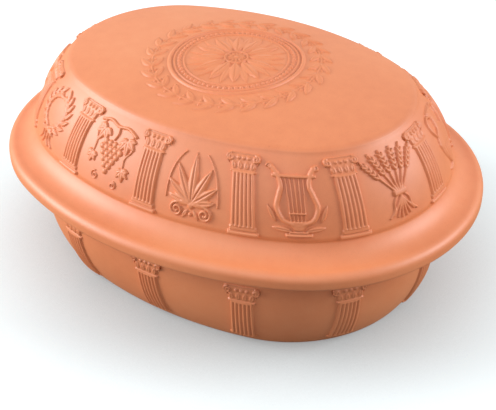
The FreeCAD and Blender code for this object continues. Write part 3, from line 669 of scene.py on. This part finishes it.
def terracotta():
    """Unglazed terracotta, cast in a mould and fired: dead matt, warm, softly clouded."""
    sizes, colours = bpy.context.scene.roaster_sizes, bpy.context.scene.roaster_colours
    material, tree = new_material(CLAY)
    spot = add(tree, "ShaderNodeTexCoord").outputs["Object"]

    def noise(width, detail):
        return add(tree, "ShaderNodeTexNoise", links={
            "Vector": spot, "Scale": 1 / width, "Detail": detail, "Roughness": 0.6}).outputs["Fac"]

    # Clouds of some 90 mm and smaller ones of 9 mm, as the clay dried and fired unevenly
    clouds = add(tree, "ShaderNodeMix", {"data_type": "FLOAT"},
                 {"Factor": 0.3, "A": noise(90 * MM, 1), "B": noise(9 * MM, 3)})
    ramp = add(tree, "ShaderNodeValToRGB", links={"Fac": clouds.outputs["Result"]})
    stops = ramp.color_ramp.elements
    stops.new(0.5)
    for stop, place, tone in zip(stops, (0.3, 0.5, 0.7),
                                 (colours.deep, colours.clay, colours.pale)):
        stop.position, stop.color = place, tone
    # Faint darker grains of sand
    grains = add(tree, "ShaderNodeMapRange", links={
        "Value": noise(sizes.grain, 3), "From Min": 0.3, "From Max": 0.45,
        "To Min": 0.93, "To Max": 1})
    tint = add(tree, "ShaderNodeMix", {"data_type": "RGBA", "blend_type": "MULTIPLY"},
               {"Factor": 1.0, "A": ramp.outputs["Color"], "B": grains.outputs["Result"]})
    # Painted shade: ambient occlusion over 3 mm makes the relief's hollows a little deeper in tone,
    # standing in for the shade that falls in them
    nook = add(tree, "ShaderNodeAmbientOcclusion", {"samples": 4}, {"Distance": 3 * MM})
    depth = add(tree, "ShaderNodeMapRange", links={
        "Value": nook.outputs["AO"], "From Min": 0.3, "From Max": 0.9, "To Min": 0.82, "To Max": 1})
    # The painted shade of the hollows is multiplied into the clay's colour here
    tint = add(tree, "ShaderNodeMix", {"data_type": "RGBA", "blend_type": "MULTIPLY"},
               {"Factor": 1.0, "A": tint.outputs["Result"], "B": depth.outputs["Result"]})
    # The surface is a little rough to the touch, with faint waves from the mould
    fine = add(tree, "ShaderNodeBump", links={
        "Height": noise(sizes.grain, 3), "Strength": 0.25, "Distance": 0.08 * MM})
    waves = add(tree, "ShaderNodeBump", links={
        "Height": noise(14 * MM, 2), "Strength": 0.3, "Distance": 0.4 * MM,
        "Normal": fine.outputs["Normal"]})
    shader = add(tree, "ShaderNodeBsdfPrincipled", links={
        "Base Color": tint.outputs["Result"], "Roughness": 0.5, "IOR": 1.5,
        "Specular IOR Level": 0.9, "Diffuse Roughness": 0.5, "Normal": waves.outputs["Normal"]})
    add(tree, "ShaderNodeOutputMaterial", links={"Surface": shader.outputs["BSDF"]})
    return material


class ROASTER_OT_lid(bpy.types.Operator):
    """Domed lid: brim, cove, frieze wall, rounded shoulder and gently domed top"""
    bl_idname = "roaster.lid"
    bl_label = "Lid"

    def execute(self, context):
        mesh = bmesh.new()
        pen = Pen(mesh, CROWN_REACH, CROWN_EDGE)
        pen.arc(SHOULDER_CENTRE, FRIEZE_HIGH - SHOULDER_END, 9)
        pen.line(*on_arc(FRIEZE_CENTRE, FRIEZE_ROUND, FRIEZE_HIGH - LIP_TURN))
        pen.arc(FRIEZE_CENTRE, FRIEZE_LOW - FRIEZE_HIGH + LIP_TURN, 20)
        pen.line(LEDGE_REACH - LEDGE, LEDGE_HEIGHT - LEDGE)
        brim = (TIP - BRIM_ROUND, BRIM_HEIGHT)
        run = LEDGE_REACH - LEDGE - brim[0]
        rise = LEDGE_HEIGHT - LEDGE - brim[1] - BRIM_ROUND
        cove = (run ** 2 + rise ** 2) / (2 * rise)
        cove_centre = (brim[0], brim[1] + BRIM_ROUND + cove)
        pen.arc(cove_centre, 270 - bearing(cove_centre, (pen.tip.co.x, pen.tip.co.z)) % 360, 14)
        pen.arc(brim, -90, 9)
        lip = (TIP - BRIM_LIP, BRIM_HEIGHT - BRIM_ROUND + BRIM_LIP)
        pen.line(TIP, lip[1], 2)
        pen.arc(lip, -90, 7)
        pen.line(TIP - SKIRT_WALL, BRIM_HEIGHT - BRIM_ROUND)
        pen.line(TIP - SKIRT_WALL, SEAT)
        inner = FRIEZE_ROUND - WALL
        low, high = (math.degrees(math.asin((height - FRIEZE_CENTRE[1]) / inner))
                     for height in (LEDGE_HEIGHT, SHOULDER_CENTRE[1]))
        inner_foot = on_arc(FRIEZE_CENTRE, inner, low)
        pen.line(inner_foot[0], SEAT)
        pen.line(*inner_foot, steps=2)
        pen.arc(FRIEZE_CENTRE, high - low, 12)
        under = pen.tip.co.z
        sweep(mesh, LID_OVAL)
        close_middle(mesh, CROWN_EDGE, SUMMIT - CROWN_EDGE, 18)
        close_middle(mesh, under, SUMMIT - WALL - under, 12)
        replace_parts(finish_piece("lid_shell", mesh, SOFT_SHARP), "lid")
        return {"FINISHED"}


class ROASTER_OT_pot(bpy.types.Operator):
    """Oval pot: floor, swelling wall and the rim that carries the lid"""
    bl_idname = "roaster.pot"
    bl_label = "Pot"

    def execute(self, context):
        inner = SWELL_ROUND - WALL
        heel_gap = SWELL_HEIGHT - HEEL_ROUND
        heel = (SWELL_CENTRE[0] + math.sqrt((SWELL_ROUND - HEEL_ROUND) ** 2 - heel_gap ** 2),
                HEEL_ROUND)
        nook_height = WALL + FLOOR_ROUND
        nook_gap = SWELL_HEIGHT - nook_height
        nook = (SWELL_CENTRE[0] + math.sqrt((inner - FLOOR_ROUND) ** 2 - nook_gap ** 2),
                nook_height)
        heel_turn, nook_turn = bearing(SWELL_CENTRE, heel), bearing(SWELL_CENTRE, nook)
        mesh = bmesh.new()
        pen = Pen(mesh, FOOT - FLOOR_STRIP, 0)
        pen.line(heel[0], 0)
        pen.arc(heel, 90 + heel_turn, 6)
        pen.arc(SWELL_CENTRE, -heel_turn, 18)
        pen.line(FOOT + SWELL, SEAT, 5)
        pen.line(FOOT + SWELL - WALL, SEAT)
        pen.line(FOOT + SWELL - WALL, SWELL_HEIGHT, 4)
        pen.arc(SWELL_CENTRE, nook_turn, 10)
        pen.arc(nook, -90 - nook_turn, 8)
        pen.line(FOOT - FLOOR_STRIP, WALL)
        sweep(mesh, POT_OVAL)
        close_middle(mesh, 0, 0, 8)
        close_middle(mesh, WALL, 0, 8)

        rim = bmesh.new()
        pen = Pen(rim, RIM_ROOT, RIM_UNDER - RIM_SLOPE)
        pen.line(RIM_REACH - RIM_ROUND, RIM_UNDER, 3)
        pen.arc((RIM_REACH - RIM_ROUND, RIM_UNDER + RIM_ROUND), 90, 5)
        pen.line(RIM_REACH, SEAT)
        pen.line(RIM_ROOT, SEAT)
        pen.line(RIM_ROOT, RIM_UNDER - RIM_SLOPE)
        sweep(rim, LID_OVAL)
        ring = bpy.data.meshes.new("rim")
        rim.to_mesh(ring)
        rim.free()
        mesh.from_mesh(ring)
        bpy.data.meshes.remove(ring)
        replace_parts(finish_piece("pot_shell", mesh), "pot")
        return {"FINISHED"}


class ROASTER_OT_columns(bpy.types.Operator):
    """Reeded columns round the lid's frieze and round the pot"""
    bl_idname = "roaster.columns"
    bl_label = "Columns"

    def execute(self, context):
        height = context.scene.roaster_sizes.column_relief / MM + BURIED
        lid, pot = lid_column(height), pot_column(height)
        raise_relief("lid_columns", tile(21.4, 52.8, 0.42),
                     [(lid, on_lid(step / COLUMNS)) for step in range(COLUMNS)])
        raise_relief("pot_columns", tile(24, 52.8, 0.45),
                     [(pot, on_pot(step / COLUMNS)) for step in range(COLUMNS)])
        return {"FINISHED"}


class ROASTER_OT_ornaments(bpy.types.Operator):
    """Ornaments in relief between the lid's columns"""
    bl_idname = "roaster.ornaments"
    bl_label = "Ornaments"

    def execute(self, context):
        height = context.scene.roaster_sizes.ornament_relief / MM + BURIED

        def scaled(motif):
            return lambda u, v: height * motif(u, v)

        for half in range(2):
            start = half * len(MOTIFS)
            sprigs = [(scaled(motif), on_lid((start + step + 0.5) / COLUMNS))
                      for step, motif in enumerate(MOTIFS)]
            raise_relief(f"lid_ornaments_{half + 1}", tile(38.5, 48, 0.45, foot=1), sprigs)
        return {"FINISHED"}


class ROASTER_OT_crown(bpy.types.Operator):
    """Medallion with a flower on the lid's top, and the garland round it"""
    bl_idname = "roaster.crown"
    bl_label = "Crown ornaments"

    def execute(self, context):
        height = context.scene.roaster_sizes.crown_relief / MM + BURIED
        for name, wide, pitch, relief in (("crown_medallion", 93, 0.5, medallion),
                                          ("crown_garland", 138, 0.6, garland)):
            raise_relief(name, tile(wide, wide, pitch, foot=-wide / 2),
                         [(lambda u, v, relief=relief: height * relief(u, v), on_crown)])
        return {"FINISHED"}


class ROASTER_OT_stage(bpy.types.Operator):
    """Pale studio floor, soft lamps and the camera"""
    bl_idname = "roaster.stage"
    bl_label = "Stage"

    def execute(self, context):
        scene = context.scene
        mesh = bmesh.new()
        bmesh.ops.create_grid(mesh, x_segments=1, y_segments=1, size=3)
        data = bpy.data.meshes.new("floor")
        mesh.to_mesh(data)
        mesh.free()
        data.materials.append(self.floor_paint(scene.roaster_colours.floor))
        floor = bpy.data.objects.new("floor", data)
        scene.collection.objects.link(floor)
        self.light_world(scene)
        # Place and width in metres, power in watts; all aim at the middle of the seat
        for name, place, wide, power in (
            ("window_left", (-1.15, -0.66, 0.66), 0.8, 17),
            ("low_left", (-1.0, -0.9, 0.25), 0.6, 4.5),
            ("window_right", (1.12, 0.52, 0.67), 0.8, 12.5),
            ("fill_front", (0.2, -0.95, 0.95), 0.8, 2.4),
        ):
            lamp = bpy.data.lights.new(name, "AREA")
            lamp.shape, lamp.size, lamp.energy = "DISK", wide, power
            holder = bpy.data.objects.new(name, lamp)
            holder.location = place
            aim = Vector((0, 0, SEAT * MM)) - holder.location
            holder.rotation_euler = aim.to_track_quat("-Z", "Y").to_euler()
            scene.collection.objects.link(holder)
        self.place_camera(scene)
        scene.view_settings.view_transform = "Standard"
        return {"FINISHED"}

    def floor_paint(self, tone):
        """White to the camera where light falls on it, and grey in the object's shadow, which
        painted shadow deepens near the pot.

        Other rays find it dark, so that it throws little light up at the pot.
        """
        material, tree = new_material("white studio floor")
        # Painted contact shadow: ambient occlusion darkens the floor's colour within 0.25 m of the
        # pot
        nook = add(tree, "ShaderNodeAmbientOcclusion", {"samples": 8},
                   {"Color": tone, "Distance": 0.25})
        diffuse = add(tree, "ShaderNodeBsdfDiffuse", links={"Color": nook.outputs["Color"]})
        dull = add(tree, "ShaderNodeBsdfDiffuse", links={"Color": colour("#707070")})
        glow = add(tree, "ShaderNodeEmission", links={"Color": colour("#FFFFFF"), "Strength": 0.28})
        both = add(tree, "ShaderNodeAddShader")
        tree.links.new(diffuse.outputs["BSDF"], both.inputs[0])
        tree.links.new(glow.outputs["Emission"], both.inputs[1])
        camera_ray = add(tree, "ShaderNodeLightPath").outputs["Is Camera Ray"]
        pick = add(tree, "ShaderNodeMixShader", links={"Fac": camera_ray})
        tree.links.new(dull.outputs["BSDF"], pick.inputs[1])
        tree.links.new(both.outputs["Shader"], pick.inputs[2])
        add(tree, "ShaderNodeOutputMaterial", links={"Surface": pick.outputs["Shader"]})
        return material

    def seen(self, tree):
        """1 for what the camera sees, directly or through gloss or glass."""
        path = add(tree, "ShaderNodeLightPath").outputs
        total = path["Is Camera Ray"]
        for other in ("Is Glossy Ray", "Is Transmission Ray"):
            both = add(tree, "ShaderNodeMath", {"operation": "MAXIMUM"})
            tree.links.new(total, both.inputs[0])
            tree.links.new(path[other], both.inputs[1])
            total = both.outputs["Value"]
        return total

    def light_world(self, scene):
        world = bpy.data.worlds.new("studio")
        world.use_nodes = True
        tree = world.node_tree
        tree.nodes.clear()
        white = colour("#FFFFFF")
        soft = add(tree, "ShaderNodeBackground", links={"Color": white, "Strength": 0.36})
        plain = add(tree, "ShaderNodeBackground", links={"Color": white, "Strength": 1})
        pick = add(tree, "ShaderNodeMixShader", links={"Fac": self.seen(tree)})
        tree.links.new(soft.outputs["Background"], pick.inputs[1])
        tree.links.new(plain.outputs["Background"], pick.inputs[2])
        add(tree, "ShaderNodeOutputWorld", links={"Surface": pick.outputs["Shader"]})
        scene.world = world

    def place_camera(self, scene):
        """Camera of the photograph: its place and axes in the part's frame."""
        lens = bpy.data.cameras.new("camera")
        lens.lens, lens.sensor_width, lens.sensor_fit = 83.08, 36, "HORIZONTAL"
        lens.clip_start, lens.clip_end = 0.01, 20
        camera = bpy.data.objects.new("camera", lens)
        right = Vector((0.8379733, 0.54548115, -0.01584487))
        up = Vector((-0.30650235, 0.49447776, 0.81335604))
        back = right.cross(up)
        camera.matrix_world = Matrix.Translation((0.37787, -0.55612, 0.5116)) @ Matrix(
            (right, up, back)).transposed().to_4x4()
        scene.collection.objects.link(camera)
        scene.camera = camera


class ROASTER_PT_panel(bpy.types.Panel):
    """Steps that build the clay roaster"""
    bl_idname = "ROASTER_PT_panel"
    bl_label = "Clay roaster"
    bl_space_type = "VIEW_3D"
    bl_region_type = "UI"
    bl_category = "Clay roaster"

    def draw(self, context):
        for group in (context.scene.roaster_sizes, context.scene.roaster_colours):
            for name in group.__annotations__:
                self.layout.prop(group, name)
        for step in STEPS:
            self.layout.operator(step.bl_idname)


STEPS = (ROASTER_OT_lid, ROASTER_OT_pot, ROASTER_OT_columns, ROASTER_OT_ornaments,
         ROASTER_OT_crown, ROASTER_OT_stage)
CLASSES = (RoasterSizes, RoasterColours, *STEPS, ROASTER_PT_panel)


def register():
    for kind in CLASSES:
        bpy.utils.register_class(kind)
    bpy.types.Scene.roaster_sizes = bpy.props.PointerProperty(type=RoasterSizes)
    bpy.types.Scene.roaster_colours = bpy.props.PointerProperty(type=RoasterColours)


def unregister():
    del bpy.types.Scene.roaster_sizes
    del bpy.types.Scene.roaster_colours
    for kind in reversed(CLASSES):
        bpy.utils.unregister_class(kind)


def main():
    register()
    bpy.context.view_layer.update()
    bpy.ops.roaster.lid()
    bpy.ops.roaster.pot()
    bpy.ops.roaster.columns()
    bpy.ops.roaster.ornaments()
    bpy.ops.roaster.crown()
    bpy.ops.roaster.stage()


if __name__ == "__main__":
    main()
